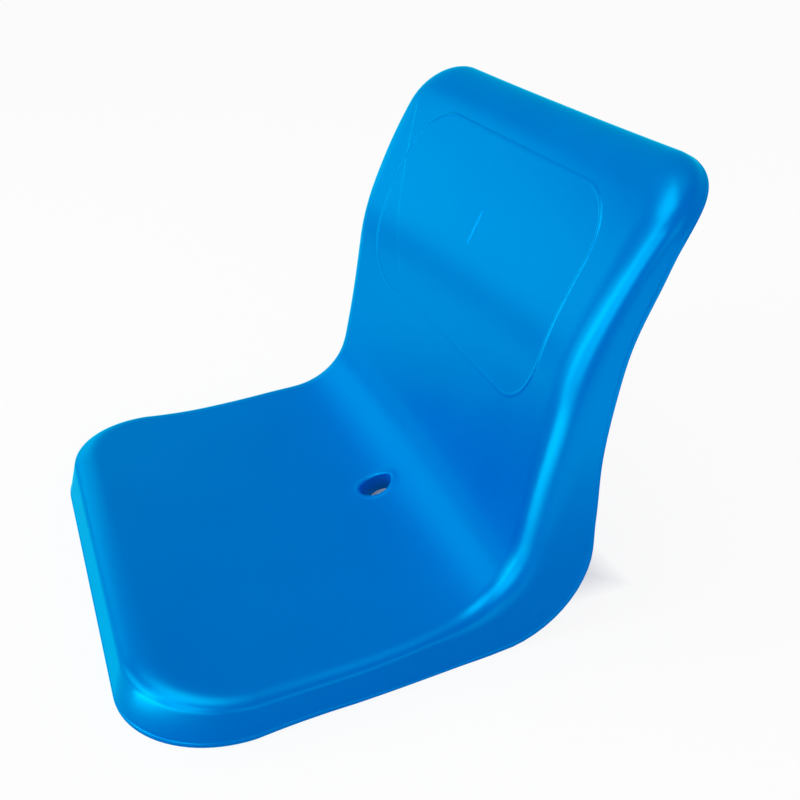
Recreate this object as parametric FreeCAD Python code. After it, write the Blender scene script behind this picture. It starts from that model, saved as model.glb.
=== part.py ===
import FreeCAD, Part
import math
import os

from FreeCAD import Vector

# Driving dimensions, in millimetres and degrees.

# Sitting line: the side edge of the sitting surface, followed from the front edge to the top edge.
# Each run has a length, and the slope above the horizontal is given at every joint between runs.
RUN_PAN = 234.0
RUN_BEND = 77.0
RUN_LOW_BACK = 109.0
RUN_KINK = 62.0
RUN_TOP_BACK = 136.0
SLOPE_FRONT = -11.0
SLOPE_PAN_END = 7.6
SLOPE_BEND_END = 76.0
SLOPE_LOW_BACK_END = 78.0
SLOPE_KINK_END = 62.0
SLOPE_TOP = 48.7
FRONT_HEIGHT = 42.5

# Half widths of the sitting surface at the front, mid pan, bend, kink and top.
HALF_FRONT = 223.0
HALF_PAN = 215.5
HALF_BEND = 208.0
HALF_KINK = 211.5
HALF_TOP = 217.5
FRONT_CORNER_R = 78.0
TOP_CORNER_R = 54.0
EDGE_ROLL_R = 16.0

# Hollow across the width at the front, mid pan, drain, lower back, upper back and top.
DISH_FRONT = 1.0
DISH_PAN = 4.0
DISH_DRAIN = 12.0
DISH_LOW_BACK = 10.5
DISH_HIGH_BACK = 9.5
DISH_TOP = 6.0

# Skirt: flat free edge under the pan, a round rear corner, then a free edge at these depths.
WALL = 4.0
SKIRT_DRAFT = 6.9
REAR_CORNER_R = 82.0
REAR_CORNER_SETBACK = 25.0
SKIRT_LOW_BACK = 52.0
SKIRT_MID_BACK = 42.0
SKIRT_KINK = 34.0
SKIRT_HIGH_BACK = 23.0
SKIRT_TOP = 30.5

# Drain hole with its collar, placed by distance along the sitting line.
DRAIN_AT = 245.0
DRAIN_R = 13.0
DRAIN_COLLAR_WALL = 3.5
DRAIN_COLLAR_DEPTH = 13.0

# Stiffening ribs under the sitting surface.
RIB_THICK = 2.6
RIB_DEPTH = 7.0
RIB_SPACING = 50.0
PAN_RIB_SPACING = 70.0
BACK_RIB_SPACING = 130.0

# Four fixing bosses under the pan, each with one moulded-in threaded insert.
BOSS_SPACING_X = 200.0
BOSS_SPACING_Y = 140.0
BOSS_FRONT_Y = 70.0
BOSS_R = 13.0
INSERT_R = 6.0
INSERT_NECK_R = 5.2
INSERT_LENGTH = 16.0
INSERT_BORE_R = 3.4
SCREW_ROOM_R = 4.4
SCREW_ROOM_DEPTH = 4.0

SIT_RUNS = [RUN_PAN, RUN_BEND, RUN_LOW_BACK, RUN_KINK, RUN_TOP_BACK]
SIT_SLOPES = [
    SLOPE_FRONT,
    SLOPE_PAN_END,
    SLOPE_BEND_END,
    SLOPE_LOW_BACK_END,
    SLOPE_KINK_END,
    SLOPE_TOP,
]


def walk(runs, slopes, start, step=4.0):
    """Follow a side line whose slope changes evenly along each run; returns (s, y, z, slope) rows."""
    y, z = start
    s = 0.0
    rows = [(s, y, z, math.radians(slopes[0]))]
    for run, first, last in zip(runs, slopes[:-1], slopes[1:]):
        parts = max(2, int(round(run / step)))
        for i in range(parts):
            middle = math.radians(first + (last - first) * (i + 0.5) / parts)
            y += math.cos(middle) * run / parts
            z += math.sin(middle) * run / parts
            s += run / parts
            rows.append((s, y, z, math.radians(first + (last - first) * (i + 1.0) / parts)))
    return rows


SIT = walk(SIT_RUNS, SIT_SLOPES, (0.0, FRONT_HEIGHT))
LENGTH = SIT[-1][0]
BEND_END = RUN_PAN + RUN_BEND
KINK_START = BEND_END + RUN_LOW_BACK
KINK_END = KINK_START + RUN_KINK
WIDTH_KNOTS = [0.0, 0.6 * RUN_PAN, BEND_END, 0.5 * (KINK_START + KINK_END), LENGTH]
HALF_WIDTHS = [HALF_FRONT, HALF_PAN, HALF_BEND, HALF_KINK, HALF_TOP]
DISH_KNOTS = [0.0, 0.5 * RUN_PAN, RUN_PAN, BEND_END, KINK_START, 0.5 * (KINK_END + LENGTH), LENGTH]
DISHES = [DISH_FRONT, DISH_PAN, DISH_DRAIN, DISH_DRAIN, DISH_LOW_BACK, DISH_HIGH_BACK, DISH_TOP]
LEAN = math.tan(math.radians(SKIRT_DRAFT))


def between(value, knots, values):
    """Smooth step from one listed value to the next."""
    if value <= knots[0]:
        return values[0]
    for k0, k1, v0, v1 in zip(knots[:-1], knots[1:], values[:-1], values[1:]):
        if value <= k1:
            t = (value - k0) / (k1 - k0)
            return v0 + (v1 - v0) * t * t * (3.0 - 2.0 * t)
    return values[-1]


def half_width(s):
    return between(s, WIDTH_KNOTS, HALF_WIDTHS)


def sit_at(s):
    """Point, tangent and normal of the sitting line; straight on beyond both ends."""
    extra = 0.0
    if s <= 0.0:
        _, y, z, a = SIT[0]
        extra = s
    elif s >= LENGTH:
        _, y, z, a = SIT[-1]
        extra = s - LENGTH
    else:
        for r0, r1 in zip(SIT[:-1], SIT[1:]):
            if s <= r1[0]:
                t = (s - r0[0]) / (r1[0] - r0[0])
                y = r0[1] + (r1[1] - r0[1]) * t
                z = r0[2] + (r1[2] - r0[2]) * t
                a = r0[3] + (r1[3] - r0[3]) * t
                break
    tangent = Vector(0.0, math.cos(a), math.sin(a))
    normal = Vector(0.0, -math.sin(a), math.cos(a))
    point = Vector(0.0, y, z) + tangent * extra
    return point, tangent, normal


def surface_point(x, s, depth=0.0):
    """Point of the dished sitting surface, moved inwards by depth."""
    point, _, normal = sit_at(s)
    dish = between(s, DISH_KNOTS, DISHES)
    offset = dish * ((x / half_width(s)) ** 2 - 1.0) - depth
    return point + Vector(x, 0.0, 0.0) + normal * offset


def slab_below(depth, thickness=105.0):
    """Thick block under the dished surface, wider and longer than the seat."""
    side = 1.25 * max(HALF_WIDTHS)
    stations = 50
    rows = []
    for i in range(stations + 1):
        s = -140.0 + (LENGTH + 200.0) * i / stations
        rows.append([surface_point(side * (j - 3) / 3.0, s, depth) for j in range(7)])
    surface = Part.BSplineSurface()
    surface.interpolate(rows)
    tilt = math.radians(0.5 * (SLOPE_FRONT + SLOPE_BEND_END) + 10.0)
    pull = Vector(0.0, -math.sin(tilt), math.cos(tilt))
    return surface.toShape().extrude(pull * -thickness)


def outline(inset):
    """Closed outline of the seat laid flat: (x, s) with the outward direction at each place."""
    front_r = FRONT_CORNER_R - inset
    top_r = TOP_CORNER_R - inset
    s_front = inset
    s_top = LENGTH - inset
    w_front = half_width(s_front + front_r) - inset
    w_top = half_width(s_top - top_r) - inset
    half = []
    for i in range(3):
        half.append(((w_front - front_r) * i / 3.0, s_front, 0.0, -1.0))
    for i in range(9):
        a = 0.5 * math.pi * i / 8.0
        x = w_front - front_r + front_r * math.sin(a)
        s = s_front + front_r - front_r * math.cos(a)
        half.append((x, s, math.sin(a), -math.cos(a)))
    side_start = s_front + front_r
    side_end = s_top - top_r
    for i in range(1, 22):
        s = side_start + (side_end - side_start) * i / 22.0
        slope = 0.5 * (half_width(s + 1.0) - half_width(s - 1.0))
        size = math.hypot(1.0, slope)
        half.append((half_width(s) - inset, s, 1.0 / size, -slope / size))
    for i in range(9):
        a = 0.5 * math.pi * i / 8.0
        x = w_top - top_r + top_r * math.cos(a)
        s = side_end + top_r * math.sin(a)
        half.append((x, s, math.cos(a), math.sin(a)))
    for i in range(1, 4):
        half.append(((w_top - top_r) * (1.0 - i / 3.0), s_top, 0.0, 1.0))
    mirrored = [(-x, s, -nx, ns) for x, s, nx, ns in half[1:-1]]
    return half + mirrored[::-1]


def ring(inset, depth):
    """The outline brought onto the seat at one depth, leaning out with the skirt draft."""
    places = outline(inset)
    points = []
    for x, s, out_x, out_s in places:
        _, tangent, _ = sit_at(s)
        outward = Vector(out_x, 0.0, 0.0) + tangent * out_s
        points.append(surface_point(x, s, depth) + outward * (depth * LEAN))
    curve = Part.BSplineCurve()
    curve.interpolate(Points=points, PeriodicFlag=True)
    half = len(places) // 2
    joints = [3, 11, 15, 19, 23, 27, 33, 41]
    joints += [2 * half - joint for joint in joints[::-1]]
    values = [curve.parameter(points[joint]) for joint in joints]
    values.append(values[0] + curve.LastParameter - curve.FirstParameter)
    edges = [curve.toShape(low, high) for low, high in zip(values[:-1], values[1:])]
    return Part.Wire(edges)


def rolled_body(inset, roll):
    """Solid between the dished surface and its skirt wall, open to any depth, with a rolled edge."""
    slab = slab_below(inset)
    wall = Part.makeLoft([ring(inset, -22.0), ring(inset, 120.0)], False, True, False)
    pieces, _ = slab.generalFuse([wall])
    middle = surface_point(0.0, 0.5 * RUN_PAN, inset + 10.0)
    body = [piece for piece in pieces.Solids if piece.isInside(middle, 0.01, False)][0]
    sitter = Vector(0.0, -0.7, 0.7)
    wide = [face for face in body.Faces if face.Area > 100000.0]
    sheet = max(wide, key=lambda face: face.CenterOfMass.dot(sitter))
    return body.makeFillet(roll, sheet.OuterWire.Edges)


def sitter_side(line_edges, first, last):
    """Everything on the sitter's side of a line in the middle plane, wide enough for the seat."""
    ceiling = last.z + 200.0
    front_top = Vector(0.0, first.y, ceiling)
    back_top = Vector(0.0, last.y, ceiling)
    edges = line_edges + [
        Part.makeLine(last, back_top),
        Part.makeLine(back_top, front_top),
        Part.makeLine(front_top, first),
    ]
    face = Part.Face(Part.Wire(edges))
    face.translate(Vector(-400.0, 0.0, 0.0))
    return face.extrude(Vector(800.0, 0.0, 0.0))


def rim_region():
    """The seat's side of the free edge of the skirt: flat under the pan, then up behind the back."""
    bend_end, _, _ = sit_at(BEND_END)
    flat_end = bend_end.y - REAR_CORNER_SETBACK
    front = Vector(0.0, -90.0, 0.0)
    points = []
    for i in range(7):
        a = math.radians(12.0 * i)
        y = flat_end + REAR_CORNER_R * math.sin(a)
        z = REAR_CORNER_R * (1.0 - math.cos(a))
        points.append(Vector(0.0, y, z))
    depths = [
        (BEND_END + 0.25 * RUN_LOW_BACK, SKIRT_LOW_BACK),
        (BEND_END + 0.75 * RUN_LOW_BACK, SKIRT_MID_BACK),
        (KINK_START + 0.5 * RUN_KINK, 0.5 * (SKIRT_MID_BACK + SKIRT_KINK)),
        (KINK_END, SKIRT_KINK),
        (KINK_END + 0.35 * RUN_TOP_BACK, 0.5 * (SKIRT_KINK + SKIRT_HIGH_BACK)),
        (KINK_END + 0.65 * RUN_TOP_BACK, SKIRT_HIGH_BACK),
    ]
    for s, depth in depths:
        point, _, normal = sit_at(s)
        points.append(point - normal * depth)
    top, tangent, normal = sit_at(LENGTH)
    points.append(top - normal * SKIRT_TOP + tangent * (SKIRT_TOP * LEAN))
    points.append(points[-1] + (points[-1] - points[-2]) * 0.8)
    curve = Part.BSplineCurve()
    final = points[-1] - points[-2]
    final.normalize()
    curve.interpolate(Points=points, InitialTangent=Vector(0.0, 1.0, 0.0), FinalTangent=final)
    return sitter_side([Part.makeLine(front, points[0]), curve.toShape()], front, points[-1])


def rib_grid():
    """Crossing upright plates that end on a few flats behind the sitting surface."""
    middle_bend = 0.5 * (RUN_PAN + BEND_END)
    stations = [-30.0, 0.4 * RUN_PAN, RUN_PAN, middle_bend, BEND_END]
    stations += [KINK_START, KINK_END, LENGTH + 30.0]
    line = []
    for s in stations:
        point, _, normal = sit_at(s)
        depth = WALL + between(s, DISH_KNOTS, DISHES) + RIB_DEPTH
        line.append(point - normal * depth)
    edges = [Part.makeLine(near, far) for near, far in zip(line[:-1], line[1:])]
    region = sitter_side(edges, line[0], line[-1])
    plates = []
    for i in (-3, -2, -1, 1, 2, 3):
        corner = Vector(i * RIB_SPACING - 0.5 * RIB_THICK, -50.0, -20.0)
        plates.append(Part.makeBox(RIB_THICK, LENGTH, LENGTH, corner))
    stations = [BOSS_FRONT_Y + i * PAN_RIB_SPACING for i in range(3)]
    stations += [LENGTH - 60.0 - i * BACK_RIB_SPACING for i in range(2)]
    for s in stations:
        point, tangent, _ = sit_at(s)
        slope = math.degrees(math.atan2(tangent.z, tangent.y))
        plate = Part.makeBox(800.0, RIB_THICK, 90.0, Vector(-400.0, -0.5 * RIB_THICK, -50.0))
        plate.rotate(Vector(0, 0, 0), Vector(1, 0, 0), slope)
        plate.translate(point)
        plates.append(plate)
    return [plate.common(region) for plate in plates]


def on_rim(face):
    """True for the faces that the free edge of the skirt lies in."""
    if face.Surface.TypeId == "Part::GeomSurfaceOfExtrusion":
        return True
    box = face.BoundBox
    return abs(box.ZMin) < 1e-4 and abs(box.ZMax) < 1e-4


def skin_between(outside, cavity):
    """Closed solid between an outer form and a cavity that both end in the rim faces."""
    outer_rim = Part.makeCompound([face for face in outside.Faces if on_rim(face)])
    inner_rim = Part.makeCompound([face for face in cavity.Faces if on_rim(face)])
    rim = outer_rim.cut(inner_rim)
    faces = [face for face in outside.Faces if not on_rim(face)]
    faces += [face.reversed() for face in cavity.Faces if not on_rim(face)]
    faces += rim.Faces
    skin = Part.makeCompound(faces)
    skin.sewShape(0.01)
    shell = max(skin.Shells, key=lambda item: item.Area)
    return Part.makeSolid(shell)


def drain():
    """Returns the collar to add and the hole to take away."""
    centre = surface_point(0.0, DRAIN_AT)
    ahead = surface_point(0.0, DRAIN_AT + 4.0) - surface_point(0.0, DRAIN_AT - 4.0)
    axis = Vector(1.0, 0.0, 0.0).cross(ahead)
    axis.normalize()
    outer = DRAIN_R + DRAIN_COLLAR_WALL
    foot = centre - axis * (DRAIN_COLLAR_DEPTH + WALL)
    collar = Part.makeCylinder(outer, DRAIN_COLLAR_DEPTH + WALL + 30.0, foot, axis)
    hole = Part.makeCylinder(DRAIN_R, 80.0, centre - axis * 50.0, axis)
    return collar, hole


def boss_places():
    half = 0.5 * BOSS_SPACING_X
    rows = (BOSS_FRONT_Y, BOSS_FRONT_Y + BOSS_SPACING_Y)
    return [Vector(x, y, 0.0) for x in (-half, half) for y in rows]


def insert_outside():
    """Outer form of a threaded insert: a barrel with two necks that key it into the plastic."""
    neck = 0.12 * INSERT_LENGTH
    form = Part.makeCylinder(INSERT_R, INSERT_LENGTH)
    for level in (0.3, 0.65):
        groove = Part.makeCylinder(INSERT_R + 1.0, neck, Vector(0.0, 0.0, level * INSERT_LENGTH))
        core = Part.makeCylinder(INSERT_NECK_R, neck, Vector(0.0, 0.0, level * INSERT_LENGTH))
        form = form.cut(groove.cut(core))
    return form


def make_inserts():
    """The four threaded inserts, as separate solids."""
    bore = Part.makeCylinder(INSERT_BORE_R, INSERT_LENGTH + 2.0, Vector(0.0, 0.0, -1.0))
    single = insert_outside().cut(bore)
    solids = []
    for place in boss_places():
        copy = single.copy()
        copy.translate(place)
        solids.append(copy)
    return Part.makeCompound(solids)


def make_shell():
    """The moulded seat: skin and skirt of one wall, with its ribs, bosses and drain."""
    rim = rim_region()
    collar, hole = drain()
    outside = rolled_body(0.0, EDGE_ROLL_R).common(rim)

    cavity = rolled_body(WALL, max(2.0, EDGE_ROLL_R - WALL)).common(rim)
    fillers = rib_grid() + [collar]
    for place in boss_places():
        fillers.append(Part.makeCylinder(BOSS_R, FRONT_HEIGHT + 20.0, place - Vector(0.0, 0.0, 5.0)))
    cavity = cavity.cut(fillers)

    shell = skin_between(outside, cavity).cut(hole)
    for place in boss_places():
        pocket = insert_outside()
        pocket = pocket.fuse(Part.makeCylinder(SCREW_ROOM_R, INSERT_LENGTH + SCREW_ROOM_DEPTH))
        pocket.translate(place)
        shell = shell.cut(pocket)
    return max(shell.Solids, key=lambda solid: solid.Volume)


def main():
    os.makedirs("parts", exist_ok=True)
    shell = make_shell()
    inserts = make_inserts()
    depths = [vertex.Y for vertex in shell.Vertexes]
    shift = Vector(0.0, -0.5 * (min(depths) + max(depths)), 0.0)
    for name, shape in (("seat_shell", shell), ("threaded_inserts", inserts)):
        shape.translate(shift)
        shape.exportStep("parts/" + name + ".step")


main()
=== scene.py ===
# %% [markdown]
# A stadium seat is one injection moulded shell: a thin polypropylene skin, turned down all round
# into a skirt, with ribs and screw bosses hidden underneath. This lesson rebuilds its visible
# surfaces as formulas on numpy grids, gives them the finish of moulded plastic, and lights them
# like a catalogue photograph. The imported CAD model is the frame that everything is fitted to.

import math

import bpy
import numpy as np
from mathutils import Euler, Matrix, Vector


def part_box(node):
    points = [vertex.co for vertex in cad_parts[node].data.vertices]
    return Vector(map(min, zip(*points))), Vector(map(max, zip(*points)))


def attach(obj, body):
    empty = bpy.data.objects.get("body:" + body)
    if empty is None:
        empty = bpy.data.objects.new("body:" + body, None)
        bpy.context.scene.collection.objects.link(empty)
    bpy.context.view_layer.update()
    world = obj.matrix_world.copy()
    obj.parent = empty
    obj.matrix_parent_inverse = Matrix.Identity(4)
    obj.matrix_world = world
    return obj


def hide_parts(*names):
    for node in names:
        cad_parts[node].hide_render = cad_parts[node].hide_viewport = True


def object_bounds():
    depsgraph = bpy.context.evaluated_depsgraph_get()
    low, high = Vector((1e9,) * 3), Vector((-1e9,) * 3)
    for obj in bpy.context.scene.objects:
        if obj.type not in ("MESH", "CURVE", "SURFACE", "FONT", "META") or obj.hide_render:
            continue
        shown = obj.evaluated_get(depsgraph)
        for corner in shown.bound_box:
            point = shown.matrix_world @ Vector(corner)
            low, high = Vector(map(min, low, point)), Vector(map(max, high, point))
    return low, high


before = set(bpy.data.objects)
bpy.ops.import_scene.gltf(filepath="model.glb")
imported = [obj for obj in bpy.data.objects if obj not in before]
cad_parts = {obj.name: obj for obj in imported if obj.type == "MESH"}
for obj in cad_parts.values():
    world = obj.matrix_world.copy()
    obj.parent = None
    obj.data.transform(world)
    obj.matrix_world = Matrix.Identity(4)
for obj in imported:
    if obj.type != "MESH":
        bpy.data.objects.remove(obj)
cad_low, cad_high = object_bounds()
cad_size = [round(1000.0 * (high - low), 1) for low, high in zip(cad_low, cad_high)]
print("CAD box, mm:", cad_size)

# %% [markdown]
# Lengths are written in millimetres, as a mould maker would, and turned into metres only when a
# mesh is made. The seat's own line starts at the front edge. The frame's origin is under the
# middle of the seat, and the brass inserts, whose place along the seat is known, tie the two.

# %% Units and the shift from the front edge to the frame's origin
MM = 0.001
INSERT_MIDDLE = 140.0
inserts_low, inserts_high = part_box("threaded_inserts")
SHIFT_Y = INSERT_MIDDLE - 0.5 * (inserts_low.y + inserts_high.y) / MM
print("front edge to origin, mm:", round(SHIFT_Y, 2))

# %% [markdown]
# The camera stands where the photographer stood: in front of the seat, to its left and above.
# Its place, turn and lens come from laying the seat's outline over the picture. The turn is
# three angles in degrees: up from looking straight down, a slight roll, and round from the
# front. A thousandth of a degree moves the picture by less than a tenth of a pixel.

# %% The camera
CAMERA_PLACE = (734.00, -211.51, 546.04)
CAMERA_TURN = (60.822, 2.328, 68.105)
LENS = 45.90
SENSOR = 36.0

camera_data = bpy.data.cameras.new("camera")
camera_data.lens = LENS
camera_data.sensor_width = SENSOR
camera = bpy.data.objects.new("camera", camera_data)
turn = Euler([math.radians(angle) for angle in CAMERA_TURN]).to_matrix().to_4x4()
camera.matrix_world = Matrix.Translation(MM * Vector(CAMERA_PLACE)) @ turn
bpy.context.scene.collection.objects.link(camera)
bpy.context.scene.camera = camera
print("camera to seat, mm:", round(Vector(CAMERA_PLACE).length))

# %% [markdown]
# Seen from the side, the seat is one line: it dips from the front edge into the pan, bends up
# into the back, and leans away at the kink. The line could be a drawn curve. Here its slope is
# listed at a few places along its length and added up step by step, because a slope list is how
# the CAD model holds it and because it never makes a bump. A short average over the slopes
# softens the places where one bend hands over to the next, as a polished mould does.

# %% The sitting line: slope in degrees against distance from the front edge
PAN_END = 234.0
BEND_END = 311.0
KINK_START = 420.0
KINK_END = 482.0
LENGTH = 618.0
LINE_KNOTS = np.array([0.0, PAN_END, BEND_END, KINK_START, KINK_END, LENGTH])
LINE_SLOPES = np.array([-11.0, 7.6, 76.0, 78.0, 62.0, 48.7])
FRONT_HEIGHT = 42.5
SOFTEN = 12
BEYOND = 80

line_s = np.arange(-BEYOND, LENGTH + BEYOND + 1.0)
raw_slope = np.radians(np.interp(line_s, LINE_KNOTS, LINE_SLOPES))
window = np.hanning(2 * SOFTEN + 3)[1:-1]
line_slope = np.convolve(np.pad(raw_slope, SOFTEN, mode="edge"), window / window.sum(), "valid")


def added_up(values):
    """Running sum of a rate along the line, by the middle of each step, zero at the front edge."""
    total = np.concatenate([[0.0], np.cumsum(0.5 * (values[1:] + values[:-1]))])
    return total - total[BEYOND]


line_y = added_up(np.cos(line_slope))
line_z = added_up(np.sin(line_slope)) + FRONT_HEIGHT
print("top edge of the line, mm:", round(line_y[-1 - BEYOND], 1), round(line_z[-1 - BEYOND], 1))


def line_at(s):
    """Place (y, z) and slope of the sitting line at distance s, straight on beyond both ends."""
    return (
        np.interp(s, line_s, line_y),
        np.interp(s, line_s, line_z),
        np.interp(s, line_s, line_slope),
    )


# %% [markdown]
# The seat isn't flat across: it is hollowed by about a centimetre so that a sitter stays in the
# middle. A hollow can be sculpted, but a parabola across the width is what a drafted mould
# has, so the surface is the line, moved down by a dish that is deepest in the middle.

# %% The sitting surface as a function of x and s
WIDTH_KNOTS = np.array([0.0, 140.4, BEND_END, 451.0, LENGTH])
HALF_WIDTHS = np.array([223.0, 215.5, 208.0, 211.5, 217.5])
DISH_KNOTS = np.array([0.0, 117.0, PAN_END, BEND_END, KINK_START, 550.0, LENGTH])
DISHES = np.array([1.0, 4.0, 12.0, 12.0, 10.5, 9.5, 6.0])
DRAIN_AT = 245.0


def smooth_between(s, knots, levels):
    """From each level to the next along t * t * (3 - 2 * t), level at every knot."""
    s = np.clip(s, knots[0], knots[-1])
    run = np.clip(np.searchsorted(knots, s, side="right") - 1, 0, len(knots) - 2)
    t = (s - knots[run]) / (knots[run + 1] - knots[run])
    return levels[run] + (levels[run + 1] - levels[run]) * t * t * (3.0 - 2.0 * t)


def cubic_between(values, slopes, run, t, span):
    """From value a to the next one b along a cubic: a + (b - a) * t * t * (3 - 2 * t), plus
    t * (1 - t) * span * ((1 - t) * slope at a - t * slope at b)."""
    rise = values[run + 1] - values[run]
    bend = t * (1.0 - t) * span
    step = rise * t * t * (3.0 - 2.0 * t)
    return values[run] + step + bend * ((1.0 - t) * slopes[run] - t * slopes[run + 1])


def half_width(s):
    """Half the seat's width at s."""
    return smooth_between(s, WIDTH_KNOTS, HALF_WIDTHS)


def dish(s):
    """Depth of the hollow at s: cubics through the listed depths, with their chords' slopes."""
    s = np.clip(s, 0.0, LENGTH)
    slopes = np.gradient(DISHES, DISH_KNOTS)
    slopes[[0, -1]] = 0.0
    run = np.clip(np.searchsorted(DISH_KNOTS, s, side="right") - 1, 0, len(DISH_KNOTS) - 2)
    span = DISH_KNOTS[run + 1] - DISH_KNOTS[run]
    return cubic_between(DISHES, slopes, run, (s - DISH_KNOTS[run]) / span, span)


def seat_point(x, s, depth=0.0):
    """Place on the surface at x and s: the line's point plus x sideways, moved along the line's
    normal by dish * ((x / half width) squared - 1) and down by depth."""
    y, z, slope = line_at(s)
    lift = dish(s) * ((x / half_width(s)) ** 2 - 1.0) - depth
    x = x + 0.0 * lift
    return np.stack([x, y - np.sin(slope) * lift, z + np.cos(slope) * lift], axis=-1)


print("hollow at the drain, mm:", round(float(dish(DRAIN_AT)), 1))

# %% [markdown]
# From above, laid flat, the shell is a rounded rectangle with a slight waist. The outline is
# laid down for one half as straight run, corner, side, corner and straight run, then spaced
# evenly, a little closer in the corners, and mirrored. Each place also gets its outward
# direction, which the rolled edge and the skirt follow.

# %% The outline of the shell, laid flat
FRONT_CORNER_R = 78.0
TOP_CORNER_R = 54.0
AROUND = 480
CORNER_CROWDING = 1.3


def half_outline():
    """Dense places (x, s) of the right half, from the middle of the front to the middle of the top."""
    quarter = np.linspace(0.0, 0.5 * np.pi, 90)[1:]
    front_x = half_width(FRONT_CORNER_R) - FRONT_CORNER_R
    top_x = half_width(LENGTH - TOP_CORNER_R) - TOP_CORNER_R
    front = np.linspace([0.0, 0.0], [front_x, 0.0], 150)
    front_turn = np.array([front_x, FRONT_CORNER_R]) + FRONT_CORNER_R * np.stack(
        [np.sin(quarter), -np.cos(quarter)], axis=1
    )
    side_s = np.linspace(FRONT_CORNER_R, LENGTH - TOP_CORNER_R, 500)[1:]
    side = np.stack([half_width(side_s), side_s], axis=1)
    top_turn = np.array([top_x, LENGTH - TOP_CORNER_R]) + TOP_CORNER_R * np.stack(
        [np.cos(quarter), np.sin(quarter)], axis=1
    )
    top = np.linspace([top_x, LENGTH], [0.0, LENGTH], 150)[1:]
    return np.concatenate([front, front_turn, side, top_turn, top])


def spaced(places, count, crowding):
    """The same line with count places, spaced by length plus crowding times the turn."""
    steps = np.diff(places, axis=0)
    lengths = np.hypot(steps[:, 0], steps[:, 1])
    headings = np.unwrap(np.arctan2(steps[:, 1], steps[:, 0]))
    turns = np.abs(np.gradient(headings))
    weight = lengths + crowding * FRONT_CORNER_R * turns
    along = np.concatenate([[0.0], np.cumsum(weight)])
    wanted = np.linspace(0.0, along[-1], count)
    return np.stack([np.interp(wanted, along, places[:, i]) for i in range(2)], axis=1)


right_half = spaced(half_outline(), AROUND // 2 + 1, CORNER_CROWDING)
left_half = right_half[-2:0:-1] * np.array([-1.0, 1.0])
outline = np.concatenate([right_half, left_half])
heading = np.roll(outline, -1, axis=0) - np.roll(outline, 1, axis=0)
heading /= np.linalg.norm(heading, axis=1, keepdims=True)
edge_x, edge_s = outline.T
out_x, out_s = heading[:, 1], -heading[:, 0]
longest_step = float(np.abs(np.diff(outline, axis=0)).max())
print("outline places:", len(outline), "longest step, mm:", round(longest_step, 1))

# %% [markdown]
# The skirt ends in a free edge that is flat under the pan, so that the shell stands level,
# turns up round a generous rear corner, and follows the back at a shrinking distance. In side
# view it is one curve. The skirt's depth at any place of the outline is then found by running
# down the skirt's own direction until it meets that curve, all places at once.

# %% The free edge of the skirt, in side view
SKIRT_LEAN = math.tan(math.radians(6.9))
REAR_CORNER_R = 82.0
REAR_CORNER_SETBACK = 25.0
REAR_CORNER_DEGREES = np.arange(0.0, 73.0, 12.0)
RIM_START = -90.0
RIM_PLACES = 500
RIM_S = np.array([338.0, 392.0, 451.0, KINK_END, 530.0, 570.0])
RIM_DEPTHS = np.array([52.0, 42.0, 38.0, 34.0, 28.5, 23.0])
TOP_SKIRT = 30.5


def through(places, count):
    """A curve through places: cubics whose slopes are those of the chords on both sides."""
    steps = np.hypot(*np.diff(places, axis=0).T)
    along = np.concatenate([[0.0], np.cumsum(steps)])
    slopes = np.gradient(places, along, axis=0)
    wanted = np.linspace(0.0, along[-1], count)
    run = np.clip(np.searchsorted(along, wanted, side="right") - 1, 0, len(steps) - 1)
    span = steps[run][:, None]
    t = ((wanted - along[run]) / steps[run])[:, None]
    return cubic_between(places, slopes, run, t, span)


def below_line(s, depth):
    """Side view places (y, z) at a depth under the sitting line."""
    y, z, slope = line_at(s)
    return np.stack([y + np.sin(slope) * depth, z - np.cos(slope) * depth], axis=-1)


def rim_line():
    """Side view of the free edge: level, then the rear corner's arc, then the back's offsets."""
    flat_end = line_at(BEND_END)[0] - REAR_CORNER_SETBACK
    start = np.array([[RIM_START, 0.0]])
    flat_middle = np.array([[0.5 * (RIM_START + flat_end), 0.0]])
    arc = np.radians(REAR_CORNER_DEGREES)
    corner = np.stack([np.sin(arc), 1.0 - np.cos(arc)], axis=1) * REAR_CORNER_R
    corner[:, 0] += flat_end
    back = below_line(RIM_S, RIM_DEPTHS)
    top = below_line(LENGTH + TOP_SKIRT * SKIRT_LEAN, TOP_SKIRT)[None]
    beyond = top + 0.8 * (top - back[-1:])
    curve = through(np.concatenate([flat_middle, corner, back, top, beyond]), RIM_PLACES)
    return np.concatenate([start, curve])


RIM = rim_line()


def reach_of(start, direction, line):
    """How far each start runs along its direction, in side view, before it meets the line."""
    ends = np.diff(line, axis=0)
    to_line = line[None, :-1] - start[:, None]
    cross = direction[:, None, 0] * ends[None, :, 1] - direction[:, None, 1] * ends[None, :, 0]
    cross = np.where(np.abs(cross) < 1e-12, 1e-12, cross)
    reach = (to_line[..., 0] * ends[None, :, 1] - to_line[..., 1] * ends[None, :, 0]) / cross
    share = (to_line[..., 0] * direction[:, None, 1] - to_line[..., 1] * direction[:, None, 0]) / cross
    hit = (share >= 0.0) & (share <= 1.0) & (reach > 0.0)
    return np.where(hit, reach, np.inf).min(axis=1)


# %% [markdown]
# The edge is where this seat gets its character: a roll that is tight beside the thighs and
# softer round the back, so that light draws one long line along it. The section is worked out
# as a profile in two numbers, the distance in from the outline and the depth under the
# surface, and carried round the outline. Two lists steer it: how far the roll reaches into the
# sheet, and how far down the wall it takes to turn. A roll that reaches far in and turns short
# gives the broad band with a crisp outer edge that the plastic shows.

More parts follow.
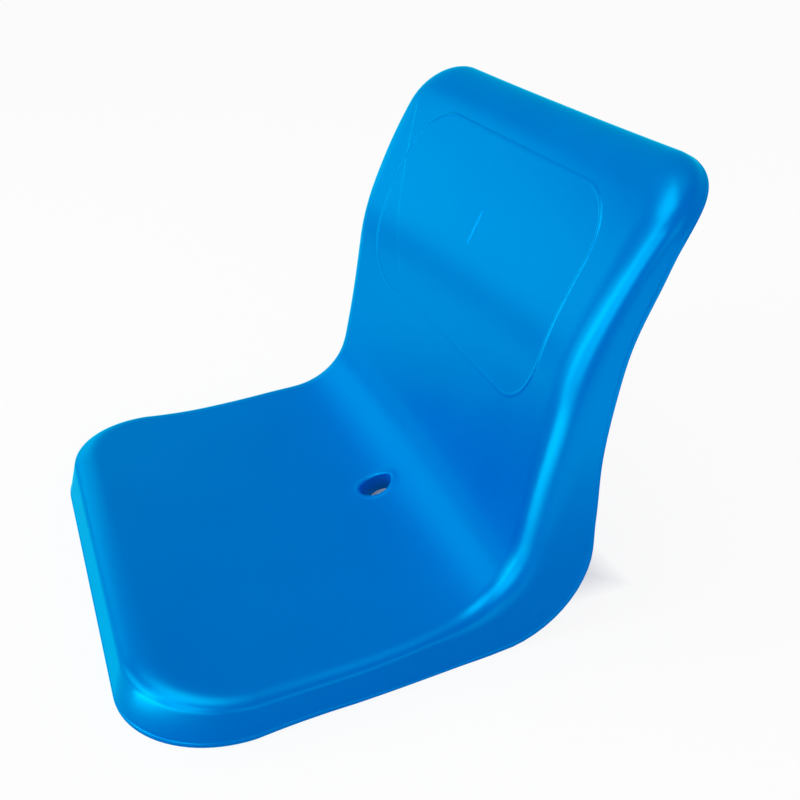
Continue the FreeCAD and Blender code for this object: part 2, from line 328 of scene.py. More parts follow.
# %% The section of the rolled edge, carried round the outline
WALL = 4.0
FRONT_ROLL = 19.0
TOP_ROLL = 32.0
SIDE_ROLL_S = np.array([0.0, 200.0, 320.0, 420.0, LENGTH])
SIDE_ROLLS = np.array([11.0, 11.0, 18.0, 20.0, 22.0])
SIDE_TURN_S = np.array([0.0, 200.0, 300.0, 360.0, 430.0, 540.0, LENGTH])
SIDE_TURNS = np.array([7.0, 7.0, 21.0, 26.0, 22.0, 14.0, 14.0])
END_TURN = 0.62
SHEET_REACH = 1.25
ROLL_HANDLE = 0.42
ROLL_STEPS = 13


def roll_at_edge():
    """Size of the roll at each place: the side's own, blended to the front's or the top's."""
    side = smooth_between(edge_s, SIDE_ROLL_S, SIDE_ROLLS)
    ends = np.where(out_s < 0.0, FRONT_ROLL, TOP_ROLL)
    return side * out_x**2 + ends * out_s**2


def turn_at_edge():
    """How far down the wall the roll takes to turn: short beside the thighs, long at the bend."""
    side = smooth_between(edge_s, SIDE_TURN_S, SIDE_TURNS)
    ends = END_TURN * np.where(out_s < 0.0, FRONT_ROLL, TOP_ROLL)
    return side * out_x**2 + ends * out_s**2


roll = roll_at_edge()
sheet_reach = SHEET_REACH * roll
turn_run = turn_at_edge()


def skin_place(inward, depth):
    """Place at a distance in from the outline and a depth under the surface. Beyond the
    outline it moves straight out from the edge instead."""
    inside = np.maximum(inward, 0.0)
    outside = np.maximum(-inward, 0.0)
    place = seat_point(edge_x - out_x * inside, edge_s - out_s * inside, depth)
    slope = line_at(edge_s)[2]
    away = np.stack([out_x, out_s * np.cos(slope), out_s * np.sin(slope)], axis=-1)
    return place + away * outside[:, None]


def wall_place(inset, depth):
    """Place on a skirt wall that starts at an inset and leans out as it goes down."""
    return skin_place(inset - depth * SKIRT_LEAN, depth)


def skirt_depth(inset):
    """Depth at which the skirt wall with that inset meets the free edge's curve."""
    start = seat_point(edge_x - out_x * inset, edge_s - out_s * inset)[:, 1:]
    slope = line_at(edge_s)[2]
    down = np.stack([np.sin(slope), -np.cos(slope)], axis=-1)
    along = np.stack([np.cos(slope), np.sin(slope)], axis=-1)
    return reach_of(start, down + along * (out_s * SKIRT_LEAN)[:, None], RIM)


def roll_rings(inset, top_depth, sheet_run, wall_run, steps):
    """Rings of one rolled corner: a cubic (1-t)^3 a + 3t(1-t)^2 b + 3t^2(1-t) c + t^3 d from
    the sheet to the wall, tangent to both. Its handles b and c reach most of the way to the
    corner, which keeps the turn late and tight."""
    t = np.linspace(0.0, 1.0, steps)
    weights = [(1 - t) ** 3, 3 * t * (1 - t) ** 2, 3 * t * t * (1 - t), t**3]
    corner = inset - top_depth * SKIRT_LEAN
    end = inset - (top_depth + wall_run) * SKIRT_LEAN
    into_sheet = corner + ROLL_HANDLE * sheet_run
    down_wall = corner + ROLL_HANDLE * (end - corner)
    knots_in = [corner + sheet_run, into_sheet, down_wall, end]
    knots_deep = [0.0, 0.0, ROLL_HANDLE * wall_run, wall_run]
    rings = []
    for parts in zip(*weights):
        inward = sum(part * knot for part, knot in zip(parts, knots_in))
        depth = top_depth + sum(part * knot for part, knot in zip(parts, knots_deep))
        rings.append(skin_place(inward + 0.0 * edge_x, depth + 0.0 * edge_x))
    return rings


outer_depth = skirt_depth(0.0)
inner_depth = skirt_depth(WALL)
print("skirt depth, mm:", round(float(outer_depth.min()), 1), "to", round(float(outer_depth.max()), 1))

# %% [markdown]
# Water leaves through a drain hole where the pan meets the back. Cutting a hole into a grid
# with a boolean leaves ragged shading, so the grid is laid round the hole instead: every ring
# of the skin goes round it, from the lip of the hole out to the roll, down the skirt, round
# the free edge, back under the skin and down the drain's collar. That closes the whole shell
# as one surface with no seam and no pole.

# %% The rings of the shell, from the drain's lip out to the free edge and back underneath
DRAIN_R = 13.0
COLLAR_WALL = 3.5
COLLAR_DEPTH = 17.0
COLLAR_CHAMFER = 0.6
LIP_R = np.array([13.0, 13.15, 13.6, 14.4, 15.4, 16.6, 18.0, 19.5, 21.5])
LIP_LIFT = np.array([-1.0, -0.2, 0.45, 0.85, 0.95, 0.75, 0.35, 0.08, 0.0])
TOP_RINGS = 80
UNDER_RINGS = 34
SKIRT_RINGS = 12
UNDER_SKIRT_RINGS = 7
UNDER_ROLL_STEPS = 6
FREE_EDGE_R = 1.3
FREE_EDGE_SHARES = (0.0, 0.1, 0.3, 0.5, 0.7, 0.9, 1.0)

bearing = np.arctan2(edge_s - DRAIN_AT, edge_x)


def round_drain(radius, depth):
    """Ring on the seat's surface at a radius from the drain's middle."""
    return seat_point(radius * np.cos(bearing), DRAIN_AT + radius * np.sin(bearing), depth)


def drain_foot(radius, depth):
    """Ring square to the drain's own axis at a depth below its middle."""
    slope = line_at(DRAIN_AT)[2]
    middle = seat_point(0.0, DRAIN_AT, depth)
    side = radius * np.cos(bearing)
    ahead = radius * np.sin(bearing)
    ring = np.stack([side, ahead * np.cos(slope), ahead * np.sin(slope)], axis=-1)
    return middle + ring


def sheet_rings(radius, inward, depth, count):
    """Rings that widen evenly from the drain to a distance in from the outline."""
    start = np.stack([radius * np.cos(bearing), DRAIN_AT + radius * np.sin(bearing)])
    end = np.stack([edge_x - out_x * inward, edge_s - out_s * inward])
    shares = np.linspace(0.0, 1.0, count + 2)[1:-1]
    return [seat_point(*(start + (end - start) * share), depth) for share in shares]


def free_edge_rings():
    """The skirt's rounded lip, from the outer wall across to the inner wall: at a share w of
    the way it is drawn back by r * (1 - (1 - |2w - 1|^3) ^ 0.5)."""
    rings = []
    for share in FREE_EDGE_SHARES:
        back = FREE_EDGE_R * (1.0 - (1.0 - abs(2.0 * share - 1.0) ** 3) ** 0.5)
        outer = wall_place(0.0, outer_depth - back)
        inner = wall_place(WALL, inner_depth - back)
        rings.append(outer + (inner - outer) * share)
    return rings


def wall_rings(inset, start, edge_depth, count):
    """Rings down a skirt wall, between the end of its roll and the rounded lip."""
    shares = np.linspace(0.0, 1.0, count)[1:-1]
    run = edge_depth - FREE_EDGE_R - start
    return [wall_place(inset, start + run * share) for share in shares]


def shell_rings():
    """All rings of the closed shell, each an array of places round the seat."""
    rings = [round_drain(radius, -lift) for radius, lift in zip(LIP_R, LIP_LIFT)]
    rings += sheet_rings(LIP_R[-1], sheet_reach, 0.0, TOP_RINGS)
    rings += roll_rings(0.0, 0.0, sheet_reach, turn_run, ROLL_STEPS)
    rings += wall_rings(0.0, turn_run, outer_depth, SKIRT_RINGS)
    rings += free_edge_rings()
    inner_run = np.maximum(turn_run - 0.5 * WALL, 3.0)
    inner_reach = np.maximum(sheet_reach - 0.6 * WALL, 4.0)
    rings += wall_rings(WALL, WALL + inner_run, inner_depth, UNDER_SKIRT_RINGS)[::-1]
    rings += roll_rings(WALL, WALL, inner_reach, inner_run, UNDER_ROLL_STEPS)[::-1]
    inner_inward = WALL - WALL * SKIRT_LEAN + inner_reach
    collar_r = DRAIN_R + COLLAR_WALL
    rings += sheet_rings(collar_r, inner_inward, WALL, UNDER_RINGS)[::-1]
    rings.append(round_drain(collar_r, WALL))
    rings.append(drain_foot(collar_r, COLLAR_DEPTH - COLLAR_CHAMFER))
    rings.append(drain_foot(collar_r - COLLAR_CHAMFER, COLLAR_DEPTH))
    rings.append(drain_foot(DRAIN_R + COLLAR_CHAMFER, COLLAR_DEPTH))
    bore_foot = drain_foot(DRAIN_R, COLLAR_DEPTH - COLLAR_CHAMFER)
    rings.append(bore_foot)
    rings.append(0.5 * (bore_foot + rings[0]))
    return np.array(rings)


shell = shell_rings()
print("shell grid:", shell.shape[0], "rings of", shell.shape[1], "places")

# %% [markdown]
# One helper turns every grid into a mesh: it writes the places in metres, joins neighbours with
# four-sided faces, turns them to point outwards by the sign of the volume they enclose, and
# hands the piece to the frame. Long ribs and beads are grids too, closed at both ends.

# %% From grids to pieces of the seat
def grid_faces(rows, columns, closed_rows):
    """Corner numbers of the faces between neighbouring rows and round closed columns."""
    row, column = np.meshgrid(
        np.arange(rows if closed_rows else rows - 1), np.arange(columns), indexing="ij"
    )
    next_row = (row + 1) % rows
    next_column = (column + 1) % columns
    corners = [
        row * columns + column,
        row * columns + next_column,
        next_row * columns + next_column,
        next_row * columns + column,
    ]
    return np.stack(corners, axis=-1).reshape(-1, 4)


def enclosed(places, faces):
    """Volume that the four-sided faces enclose, from the middle: the sum of a . (b x c) / 6."""
    a, b, c, d = (places[faces[:, i]] for i in range(4))
    halves = np.einsum("ij,ij->i", a, np.cross(b, c)) + np.einsum("ij,ij->i", a, np.cross(c, d))
    return halves.sum() / 6.0


def make_piece(name, grids, material, closed_rows=False, sharp=None):
    """One mesh from one or more grids of places, each with its rings closed on themselves."""
    places, faces, caps, first = [], [], [], 0
    for grid in grids:
        rows, columns = grid.shape[:2]
        flat = grid.reshape(-1, 3)
        quads = grid_faces(rows, columns, closed_rows)
        flip = enclosed(flat - flat.mean(axis=0), quads) < 0.0
        quads = quads[:, ::-1] if flip else quads
        places.append(flat)
        faces.extend((quads + first).tolist())
        if not closed_rows:
            start = first + np.arange(columns)
            end = first + (rows - 1) * columns + np.arange(columns)
            caps.append((start if flip else start[::-1]).tolist())
            caps.append((end[::-1] if flip else end).tolist())
        first += len(flat)
    metres = np.concatenate(places) * MM - np.array([0.0, SHIFT_Y * MM, 0.0])
    mesh = bpy.data.meshes.new(name)
    mesh.from_pydata(metres.tolist(), [], faces + caps)
    mesh.polygons.foreach_set("use_smooth", np.ones(len(mesh.polygons), dtype=bool))
    if sharp is not None:
        mesh.set_sharp_from_angle(angle=math.radians(sharp))
    mesh.materials.append(material)
    mesh.update()
    piece = bpy.data.objects.new(name, mesh)
    bpy.context.scene.collection.objects.link(piece)
    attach(piece, "root")
    print(name, "faces:", len(mesh.polygons))
    return piece


# %% [markdown]
# The plastic is polypropylene with its pigment mixed in, injected into a lightly polished
# steel mould. To the eye that gives one deep colour right through, a satin gloss whose
# highlights take the pigment's own hue, a faint orange peel where the skin froze against the
# steel, and a very fine grain. A plain glossy shader would lay white gloss over the blue and
# grey it, so the shader has two layers: a body with the pigment's colour and no gloss, and a
# tinted gloss over it, mixed in by the share of light that Fresnel's law turns back. Streaks of
# flow make the colour and the gloss drift a little over the seat.

# %% Colour and node helpers
def linear(code):
    """Linear colour of an sRGB hex code: each channel c becomes ((c + 0.055) / 1.055) ** 2.4,
    or c / 12.92 when it is below 0.04045."""
    channels = [int(code[i : i + 2], 16) / 255.0 for i in (1, 3, 5)]
    bent = [c / 12.92 if c <= 0.04045 else ((c + 0.055) / 1.055) ** 2.4 for c in channels]
    return (*bent, 1.0)


def add_node(tree, kind, values=None, settings=None):
    """A new node with its settings and its inputs; an input given a socket is linked to it."""
    node = tree.nodes.new(kind)
    for name, value in (settings or {}).items():
        setattr(node, name, value)
    for name, value in (values or {}).items():
        if isinstance(value, bpy.types.NodeSocket):
            tree.links.new(value, node.inputs[name])
        else:
            node.inputs[name].default_value = value
    return node


def new_material(name):
    """An empty node material with its output node."""
    material = bpy.data.materials.new(name)
    material.use_nodes = True
    material.node_tree.nodes.clear()
    output = add_node(material.node_tree, "ShaderNodeOutputMaterial")
    return material, material.node_tree, output


# %% Moulded polypropylene, satin, coloured right through
PIGMENT = "#0052B7"
PIGMENT_THIN = "#0056BB"
GLOSS_TINT = "#00F0FF"
GLOSS_IOR = 1.65
SMOOTHEST = 0.285
ROUGHEST = 0.34
FLOW_SIZE = 90.0
PEEL_SIZE = 7.0
PEEL_STRENGTH = 0.05
PEEL_HEIGHT = 0.4
GRAIN_SIZE = 0.5
GRAIN_STRENGTH = 0.04
GRAIN_HEIGHT = 0.05


def moulded_polypropylene():
    """Pigmented polypropylene with orange peel. The body has the pigment and no gloss of its
    own; a Fresnel share of tinted gloss lies over it, because all light that leaves this
    plastic has passed through pigment."""
    material, tree, output = new_material("moulded_polypropylene_satin")
    place = add_node(tree, "ShaderNodeTexCoord").outputs["Object"]
    patterns = []
    for size, detail in ((FLOW_SIZE, 3.0), (PEEL_SIZE, 1.0), (GRAIN_SIZE, 1.0)):
        values = {"Vector": place, "Scale": 1.0 / (size * MM), "Detail": detail}
        patterns.append(add_node(tree, "ShaderNodeTexNoise", values).outputs["Fac"])
    flow, peel, grain = patterns
    colour = add_node(
        tree,
        "ShaderNodeMix",
        {"Factor": flow, "A": linear(PIGMENT), "B": linear(PIGMENT_THIN)},
        {"data_type": "RGBA"},
    )
    gloss = add_node(
        tree,
        "ShaderNodeMapRange",
        {"Value": flow, "From Min": 0.3, "From Max": 0.7, "To Min": SMOOTHEST, "To Max": ROUGHEST},
    )
    orange_peel = add_node(
        tree,
        "ShaderNodeBump",
        {"Height": peel, "Strength": PEEL_STRENGTH, "Distance": PEEL_HEIGHT * MM},
    )
    fine_grain = add_node(
        tree,
        "ShaderNodeBump",
        {
            "Height": grain,
            "Strength": GRAIN_STRENGTH,
            "Distance": GRAIN_HEIGHT * MM,
            "Normal": orange_peel.outputs["Normal"],
        },
    )
    surface = fine_grain.outputs["Normal"]
    finish = {"Roughness": gloss.outputs["Result"], "Normal": surface}
    body = add_node(
        tree,
        "ShaderNodeBsdfPrincipled",
        {"Base Color": colour.outputs[2], "Specular IOR Level": 0.0, **finish},
    )
    tint = linear(GLOSS_TINT)
    shine = add_node(
        tree,
        "ShaderNodeBsdfPrincipled",
        {"Base Color": tint, "Metallic": 1.0, "Specular Tint": tint, **finish},
    )
    share = add_node(tree, "ShaderNodeFresnel", {"IOR": GLOSS_IOR, "Normal": surface})
    mixed = add_node(
        tree, "ShaderNodeMixShader", {0: share.outputs[0], 1: body.outputs[0], 2: shine.outputs[0]}
    )
    tree.links.new(mixed.outputs[0], output.inputs["Surface"])
    return material


plastic = moulded_polypropylene()

# %% [markdown]
# The four inserts are turned from brass bar before they go into the mould. Turning leaves
# fine rings round the bore and a bright, slightly brushed face.

# %% Turned brass
BRASS_DARK = "#C9A04E"
BRASS_BRIGHT = "#DDBB6C"
TURNING_SIZE = 0.8
TURNING_HEIGHT = 0.08


def turned_brass():
    """Brass with fine turning marks across its faces."""
    material, tree, output = new_material("turned_brass")
    place = add_node(tree, "ShaderNodeTexCoord").outputs["Object"]
    values = {"Vector": place, "Scale": 1.0 / (TURNING_SIZE * MM), "Detail": 2.0}
    marks = add_node(tree, "ShaderNodeTexNoise", values).outputs["Fac"]
    colour = add_node(
        tree,
        "ShaderNodeMix",
        {"Factor": marks, "A": linear(BRASS_DARK), "B": linear(BRASS_BRIGHT)},
        {"data_type": "RGBA"},
    )
    gloss = add_node(tree, "ShaderNodeMapRange", {"Value": marks, "To Min": 0.2, "To Max": 0.38})
    relief = add_node(
        tree,
        "ShaderNodeBump",
        {"Height": marks, "Strength": 0.2, "Distance": TURNING_HEIGHT * MM},
    )
    shader = add_node(
        tree,
        "ShaderNodeBsdfPrincipled",
        {
            "Base Color": colour.outputs[2],
            "Metallic": 1.0,
            "Roughness": gloss.outputs["Result"],
            "Normal": relief.outputs["Normal"],
        },
    )
    tree.links.new(shader.outputs["BSDF"], output.inputs["Surface"])
    return material


brass = turned_brass()
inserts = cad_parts["threaded_inserts"]
inserts.data.materials.clear()
inserts.data.materials.append(brass)

# %% [markdown]
# The skin itself stands in for the CAD shell: the same form, but as one smooth closed grid
# whose roll changes size along the edge, which the CAD model holds as a plain fillet.

# %% The moulded skin
skin = make_piece("seat_skin", [shell], plastic, closed_rows=True, sharp=50.0)
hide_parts("seat_shell")

# %% [markdown]
# A raised line frames a panel on the backrest, and a short bar stands in its middle. Both are
# grooves cut into the mould. A round rod laid on the surface would show a hard root, so each is
# a low swell whose sides run out flat, on the same surface formula as the skin, with its
# underside sunk out of sight.

# %% The panel line and the centre bar on the backrest
BEAD_SHARES = np.linspace(-1.0, 1.0, 11)
BEAD_SINK = 0.03


def swell_section(half, lift):
    """Across positions and lifts of a low swell: lift * cos squared, closed by a sunk underside."""
    across = np.concatenate([BEAD_SHARES, [0.6, 0.0, -0.6]]) * half
    bump = np.cos(0.5 * np.pi * BEAD_SHARES) ** 2
    rise = np.concatenate([bump * lift - BEAD_SINK, [-1.0, -1.2, -1.0]])
    return across, rise


def rounded_rectangle(half_x, low_s, high_s, radius, count):
    """Evenly spaced places (x, s) round a rounded rectangle that is centred on x = 0."""
    quarter = np.linspace(0.0, 0.5 * np.pi, 40)
    middles = [(1, low_s, -0.5), (1, high_s, 0.0), (-1, high_s, 0.5), (-1, low_s, 1.0)]
    places = []
    for side, edge, begin in middles:
        centre = (side * (half_x - radius), edge + (radius if edge == low_s else -radius))
        angle = begin * np.pi + quarter
        places.append(np.array(centre) + radius * np.stack([np.cos(angle), np.sin(angle)], axis=1))
    places = np.concatenate(places + [places[0][:1]])
    along = np.concatenate([[0.0], np.cumsum(np.hypot(*np.diff(places, axis=0).T))])
    wanted = np.linspace(0.0, along[-1], count, endpoint=False)
    return np.stack([np.interp(wanted, along, places[:, i]) for i in range(2)], axis=1)


PANEL_HALF = 161.0
PANEL_LOW = 396.0
PANEL_HIGH = 571.0
PANEL_CORNER_R = 50.0
PANEL_PLACES = 420
PANEL_LINE_HALF = 2.2
PANEL_LINE_LIFT = 0.75
PANEL_FADE = 45.0
PANEL_FADED = 0.25
BAR_AT = 496.0
BAR_HALF_LENGTH = 17.0
BAR_HALF = 1.7
BAR_LIFT = 1.1
BAR_PLACES = 60


def panel_line():
    """The swell carried round the panel; it fades along the lower edge, near the bend."""
    path = rounded_rectangle(PANEL_HALF, PANEL_LOW, PANEL_HIGH, PANEL_CORNER_R, PANEL_PLACES)
    along = np.roll(path, -1, axis=0) - np.roll(path, 1, axis=0)
    along /= np.linalg.norm(along, axis=1, keepdims=True)
    fade_s = np.array([PANEL_LOW, PANEL_LOW + PANEL_FADE])
    height = smooth_between(path[:, 1], fade_s, np.array([PANEL_FADED, 1.0]))
    across, rise = swell_section(PANEL_LINE_HALF, 1.0)
    x = path[:, 0, None] + along[:, 1, None] * across
    s = path[:, 1, None] - along[:, 0, None] * across
    lift = np.where(rise > 0.0, rise * PANEL_LINE_LIFT * height[:, None], rise + 0.0 * x)
    return seat_point(x, s, -lift)


def centre_bar():
    """A short swell up the middle. At a share w of its half length it keeps (1 - w^6) ^ 0.5 of
    its width and lift, so it runs out to nothing at both ends."""
    share = np.linspace(-0.995, 0.995, BAR_PLACES)
    s = (BAR_AT + BAR_HALF_LENGTH * share)[:, None]
    fade = ((1.0 - share**6) ** 0.5)[:, None]
    across, rise = swell_section(BAR_HALF, BAR_LIFT)
    return seat_point(across * fade, s + 0.0 * across, -rise * fade)


make_piece("panel_line", [panel_line()], plastic, closed_rows=True)
make_piece("centre_bar", [centre_bar()], plastic)

# %% [markdown]
# A thin line runs along the skirt, close to its free edge: the two halves of the mould meet
# there. It is the same low swell, carried round the skirt at a set distance from the edge.

# %% The parting line on the skirt
PARTING_UP = 3.6
PARTING_HALF = 1.1
PARTING_LIFT = 0.4


def parting_line():
    """The swell on the outer wall: across runs down the wall, rise points out of it."""
    across, rise = swell_section(PARTING_HALF, PARTING_LIFT)
    rings = []
    for step, lift in zip(across, rise):
        depth = outer_depth - PARTING_UP + step
        rings.append(skin_place(-depth * SKIRT_LEAN - lift, depth))
    return np.array(rings).transpose(1, 0, 2)


make_piece("parting_line", [parting_line()], plastic, closed_rows=True)

# %% [markdown]
# Turned over, the seat shows how it gets its stiffness: crossing ribs under the skin and four
# bosses that hold the inserts. Each rib is a thin tapered plate carried along the surface. Its
# root is buried in the skin, and its foot ends on a few flats, found with the same search that
# gives the skirt its depth. Ribs stop inside the bosses, so that the bores stay clear.

# %% Ribs under the skin
RIB_ROOT = 2.8
RIB_TIP = 2.2
RIB_XS = (-150.0, -100.0, -50.0, 50.0, 100.0, 150.0)
CROSS_RIB_PAN = (70.0, 140.0, 210.0)
CROSS_RIB_BACK = (428.0, 558.0)
RIB_LINE_S = np.array([-30.0, 93.6, PAN_END, 272.5, BEND_END, KINK_START, KINK_END, 648.0])
RIB_LINE_DEPTHS = np.array([12.0, 14.6, 23.0, 23.0, 23.0, 21.5, 21.0, 17.0])
RIB_LINE = below_line(RIB_LINE_S, RIB_LINE_DEPTHS)
BOSS_X = 100.0
BOSS_GAP = 10.0
END_CLEAR = 2.6
SIDE_CLEAR = 1.6
RIB_STEP = 3.0
CROSS_RIB_STEP = 4.0
FEWEST_STEPS = 8
RIB_BITE = 1.2
LEAST_RIB = 0.3


def rib_depth(x, s):
    """Depth of the ribs' feet under the dished surface."""
    y, z, slope = line_at(s)
    start = np.stack([y, z], axis=-1)
    down = np.stack([np.sin(slope), -np.cos(slope)], axis=-1)
    return reach_of(start, down, RIB_LINE) + dish(s) * ((x / half_width(s)) ** 2 - 1.0)


def roll_drop(inward, size):
    """How far a quarter circle roll has dropped at a distance in from its edge."""
    left = np.clip(size - inward, 0.0, size)
    return size - np.sqrt(size**2 - left**2)


def rib_root(x, s):
    """Depth of the ribs' roots: inside the wall, and under the roll near the edges."""
    side = roll_drop(half_width(s) - np.abs(x), smooth_between(s, SIDE_ROLL_S, SIDE_ROLLS))
    front = roll_drop(s, FRONT_ROLL)
    top = roll_drop(LENGTH - s, TOP_ROLL)
    return WALL - RIB_BITE + np.maximum(side, np.maximum(front, top))


def rib(x, s, across_x, across_s):
    """Rings of a plate along (x, s): root and foot depths, half a thickness to each side."""
    root = rib_root(x, s)
    foot = np.maximum(rib_depth(x, s), root + LEAST_RIB)
    section = [(-RIB_ROOT, root), (RIB_ROOT, root), (RIB_TIP, foot), (-RIB_TIP, foot)]
    rings = []
    for thick, depth in section:
        half = 0.5 * thick
        rings.append(seat_point(x + across_x * half, s + across_s * half, depth))
    return np.array(rings).transpose(1, 0, 2)


def long_ribs():
    """Ribs from front to top, broken where they meet a boss."""
    ribs = []
    for x in RIB_XS:
        breaks = [END_CLEAR]
        if abs(x) == BOSS_X:
            for s in (CROSS_RIB_PAN[0], CROSS_RIB_PAN[2]):
                breaks += [s - BOSS_GAP, s + BOSS_GAP]
        breaks.append(LENGTH - END_CLEAR)
        for low, high in zip(breaks[::2], breaks[1::2]):
            s = np.linspace(low, high, max(FEWEST_STEPS, int((high - low) / RIB_STEP)))
            ribs.append(rib(x + 0.0 * s, s, 1.0, 0.0))
    return ribs


def cross_ribs():
    """Ribs from side to side, broken where they meet a boss."""
    ribs = []
    for station in CROSS_RIB_PAN + CROSS_RIB_BACK:
        edge = float(half_width(station)) - SIDE_CLEAR
        breaks = [-edge]
        if station in (CROSS_RIB_PAN[0], CROSS_RIB_PAN[2]):
            breaks += [-BOSS_X - BOSS_GAP, -BOSS_X + BOSS_GAP, BOSS_X - BOSS_GAP, BOSS_X + BOSS_GAP]
        breaks.append(edge)
        for low, high in zip(breaks[::2], breaks[1::2]):
            x = np.linspace(low, high, max(FEWEST_STEPS, int((high - low) / CROSS_RIB_STEP)))
            ribs.append(rib(x, station + 0.0 * x, 0.0, 1.0))
    return ribs


make_piece("long_ribs", long_ribs(), plastic, sharp=30.0)
make_piece("cross_ribs", cross_ribs(), plastic, sharp=30.0)

# %% [markdown]
# A boss is a post that carries one insert. It is a profile turned round the insert's axis, but
# its root has to meet a curved skin, so the upper rings take their height from the underside
# of the surface at their own place.

# %% Bosses round the inserts
BOSS_R = 13.0
BOSS_YS = (70.0, 210.0)
POCKET_R = 6.02
POCKET_DEPTH = 16.0
SCREW_ROOM_R = 4.4
SCREW_ROOM_TOP = 20.0
BOSS_PLACES = 64


def height_under_skin(x, y):
    """Height of the skin's underside above a place, found by a few steps along the line."""
    s = y + 0.0
    for _ in range(6):
        place = seat_point(x, s, WALL)
        s = s - (place[..., 1] - y)
    return seat_point(x, s, WALL)[..., 2]


def boss(centre_x, centre_y):
    """Rings of one boss: root flare, post, foot face, pocket for the insert and screw room."""
    angle = np.linspace(0.0, 2.0 * np.pi, BOSS_PLACES, endpoint=False)

    def ring(radius, z=None, above=0.0):
        x = centre_x + radius * np.cos(angle)
        y = centre_y + radius * np.sin(angle)
        z = height_under_skin(x, y) + above if z is None else z + 0.0 * x
        return np.stack([x, y, z], axis=-1)

    rings = [ring(3.0, above=1.6), ring(BOSS_R, above=1.6), ring(BOSS_R + 2.6, above=0.6)]
    rings += [ring(BOSS_R + 1.2, above=-0.5), ring(BOSS_R + 0.3, above=-1.6), ring(BOSS_R, above=-3.0)]
    rings += [ring(BOSS_R, 0.5), ring(BOSS_R - 0.5, 0.02), ring(POCKET_R + 0.3, 0.02), ring(POCKET_R, 0.3)]
    rings += [ring(POCKET_R, POCKET_DEPTH), ring(SCREW_ROOM_R, POCKET_DEPTH)]
    rings += [ring(SCREW_ROOM_R, SCREW_ROOM_TOP), ring(1.0, SCREW_ROOM_TOP)]
    return np.array(rings)


bosses = [boss(x, y) for x in (-BOSS_X, BOSS_X) for y in BOSS_YS]
make_piece("fixing_bosses", bosses, plastic, sharp=30.0)

# %% [markdown]
# The studio is a white sweep. The floor takes a soft shadow, and what the camera and the
# reflections see of it is lifted to white, so no extra light has to be thrown at the seat.

# %% The floor and the surrounding white
FLOOR_HALF = 6.0
FLOOR_LIFT = 0.88
LIFT_STARTS = 0.14
LIFT_FULL = 0.19
PAPER = "#F4F4F4"


def seen_directly(tree, path):
    """1 for rays of the camera and of mirror-like reflections, 0 for the others."""
    rays = {0: path["Is Camera Ray"], 1: path["Is Glossy Ray"]}
    return add_node(tree, "ShaderNodeMath", rays, {"operation": "MAXIMUM"}).outputs[0]


def white_floor():
    """Matt white paper: diffuse, with a share of plain white for camera and mirror rays. The
    share ends under the seat, so that its inside stays dark through the drain hole."""
    material, tree, output = new_material("matt_white_paper")
    seen = seen_directly(tree, add_node(tree, "ShaderNodeLightPath").outputs)
    place = add_node(tree, "ShaderNodeTexCoord").outputs["Object"]
    spread = add_node(tree, "ShaderNodeVectorMath", {0: place}, {"operation": "ABSOLUTE"})
    apart = add_node(tree, "ShaderNodeSeparateXYZ", {"Vector": spread.outputs["Vector"]})
    farthest = add_node(
        tree, "ShaderNodeMath", {0: apart.outputs["X"], 1: apart.outputs["Y"]}, {"operation": "MAXIMUM"}
    )
    lift = add_node(
        tree,
        "ShaderNodeMapRange",
        {
            "Value": farthest.outputs[0],
            "From Min": LIFT_STARTS,
            "From Max": LIFT_FULL,
            "To Max": FLOOR_LIFT,
        },
    )
    share = add_node(
        tree, "ShaderNodeMath", {0: seen, 1: lift.outputs["Result"]}, {"operation": "MULTIPLY"}
    )
    paper = add_node(tree, "ShaderNodeBsdfDiffuse", {"Color": linear(PAPER)})
    glow = add_node(tree, "ShaderNodeEmission", {"Color": (1.0, 1.0, 1.0, 1.0), "Strength": 1.0})
    mixed = add_node(
        tree, "ShaderNodeMixShader", {0: share.outputs[0], 1: paper.outputs[0], 2: glow.outputs[0]}
    )
    tree.links.new(mixed.outputs[0], output.inputs["Surface"])
    return material


floor_mesh = bpy.data.meshes.new("floor")
floor_corners = FLOOR_HALF * np.array([(-1, -1, 0), (1, -1, 0), (1, 1, 0), (-1, 1, 0)])
floor_mesh.from_pydata(floor_corners.tolist(), [], [(0, 1, 2, 3)])
floor_mesh.materials.append(white_floor())
floor = bpy.data.objects.new("floor", floor_mesh)
bpy.context.scene.collection.objects.link(floor)


def white_surround(ambient):
    """The world: white where it is seen directly or in a reflection, dimmer as a light."""
    world = bpy.data.worlds.new("white_surround")
    world.use_nodes = True
    tree = world.node_tree
    tree.nodes.clear()
    path = add_node(tree, "ShaderNodeLightPath").outputs
    rays = {0: seen_directly(tree, path), 1: path["Is Transmission Ray"]}
    either = add_node(tree, "ShaderNodeMath", rays, {"operation": "MAXIMUM"})
    strength = add_node(
        tree, "ShaderNodeMapRange", {"Value": either.outputs[0], "To Min": ambient, "To Max": 1.0}
    )
    white = {"Color": (1.0, 1.0, 1.0, 1.0), "Strength": strength.outputs["Result"]}
    back = add_node(tree, "ShaderNodeBackground", white)
    output = add_node(tree, "ShaderNodeOutputWorld")
    tree.links.new(back.outputs[0], output.inputs["Surface"])
    bpy.context.scene.world = world


AMBIENT = 0.72
white_surround(AMBIENT)

# %% [markdown]
# On a satin seat the reflections draw the form, so every lamp is placed where a part of the seat
# mirrors it and is given by the brightness that its face shows there. Its power follows from
# that and from its area: power = brightness * pi * area. Three soft boxes light the seat. The
# rest are cards: they only show in the gloss, so that each can be made as bright as its
# highlight without changing the body's colour. The front card draws the long ridge on the near
# roll and the roll card the plateau beside it. The high card lights the top corner, the left
# card the backrest, and the three cards on the floor the skirt, which looks downwards.

# %% Soft boxes and reflection cards
AIM = Vector((0.0, 0.0, 0.15))


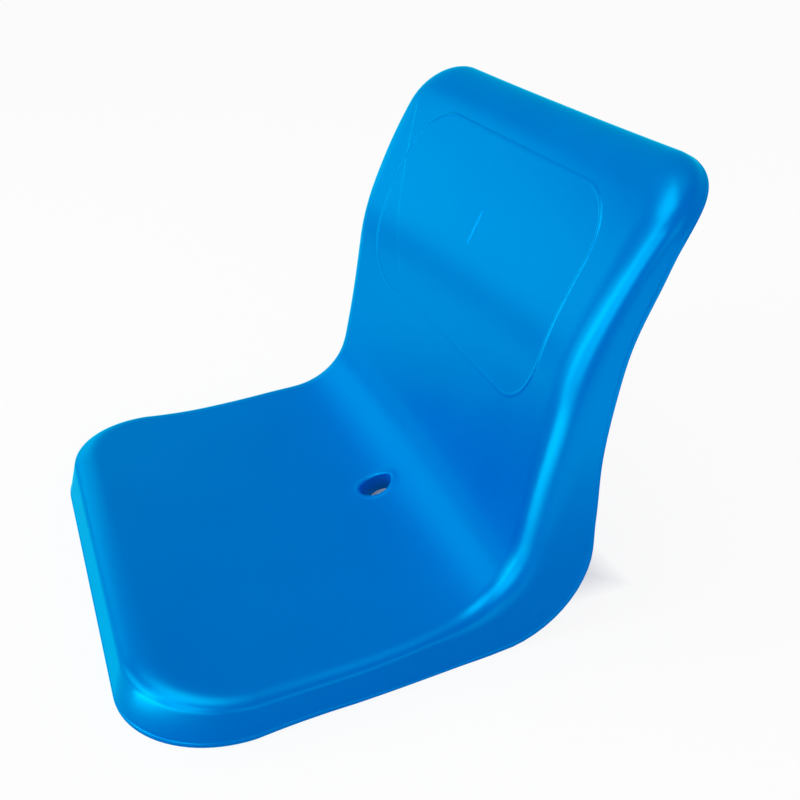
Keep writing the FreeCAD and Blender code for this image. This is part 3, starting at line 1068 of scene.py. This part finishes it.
def soft_box(name, place, width, height, brightness, aim=AIM, lights=True):
    """A rectangular lamp that faces a point. A card, which lights nothing, only shows in gloss."""
    lamp = bpy.data.lights.new(name, "AREA")
    lamp.shape = "RECTANGLE"
    lamp.size = width
    lamp.size_y = height
    lamp.energy = brightness * math.pi * width * height
    holder = bpy.data.objects.new(name, lamp)
    holder.location = place
    holder.rotation_euler = (Vector(aim) - Vector(place)).to_track_quat("-Z", "Y").to_euler()
    holder.visible_camera = False
    holder.visible_diffuse = lights
    bpy.context.scene.collection.objects.link(holder)
    print(name, "power, W:", round(lamp.energy, 1))


def seen_from_seat(azimuth, elevation, distance):
    """Place at an azimuth from straight ahead, an elevation and a distance from the seat."""
    a, e = math.radians(azimuth), math.radians(elevation)
    return AIM + distance * Vector((math.sin(a) * math.cos(e), -math.cos(a) * math.cos(e), math.sin(e)))


CARDS = [
    ("front_card", seen_from_seat(8.0, 24.0, 1.1), 0.34, 1.2, 9.0),
    ("high_card", seen_from_seat(-14.0, 70.0, 1.4), 0.9, 0.8, 7.5),
    ("left_card", seen_from_seat(-63.0, 16.0, 1.3), 0.85, 0.55, 1.7),
    ("roll_card", seen_from_seat(38.0, 22.0, 1.1), 0.5, 0.9, 6.5),
]
FLOOR_CARDS = [
    ("floor_card", (0.35, -0.66), 0.4, 0.8, 11.0),
    ("far_floor_card", (-0.9, -0.45), 0.9, 0.8, 0.7),
    ("side_card", (0.75, 0.3), 0.7, 0.9, 1.8),
]
OVER_FLOOR = 0.004

soft_box("window_box", seen_from_seat(-12.0, 18.0, 2.4), 1.6, 1.2, 3.6)
soft_box("top_box", seen_from_seat(-150.0, 80.0, 2.4), 1.2, 1.2, 1.0)
soft_box("right_box", seen_from_seat(95.0, 15.0, 2.4), 1.6, 1.2, 1.8)
for name, place, width, height, brightness in CARDS:
    soft_box(name, place, width, height, brightness, lights=False)
for name, place, width, height, brightness in FLOOR_CARDS:
    soft_box(name, (*place, OVER_FLOOR), width, height, brightness, aim=(*place, 1.0), lights=False)

# %% Colour as written
bpy.context.scene.view_settings.view_transform = "Standard"
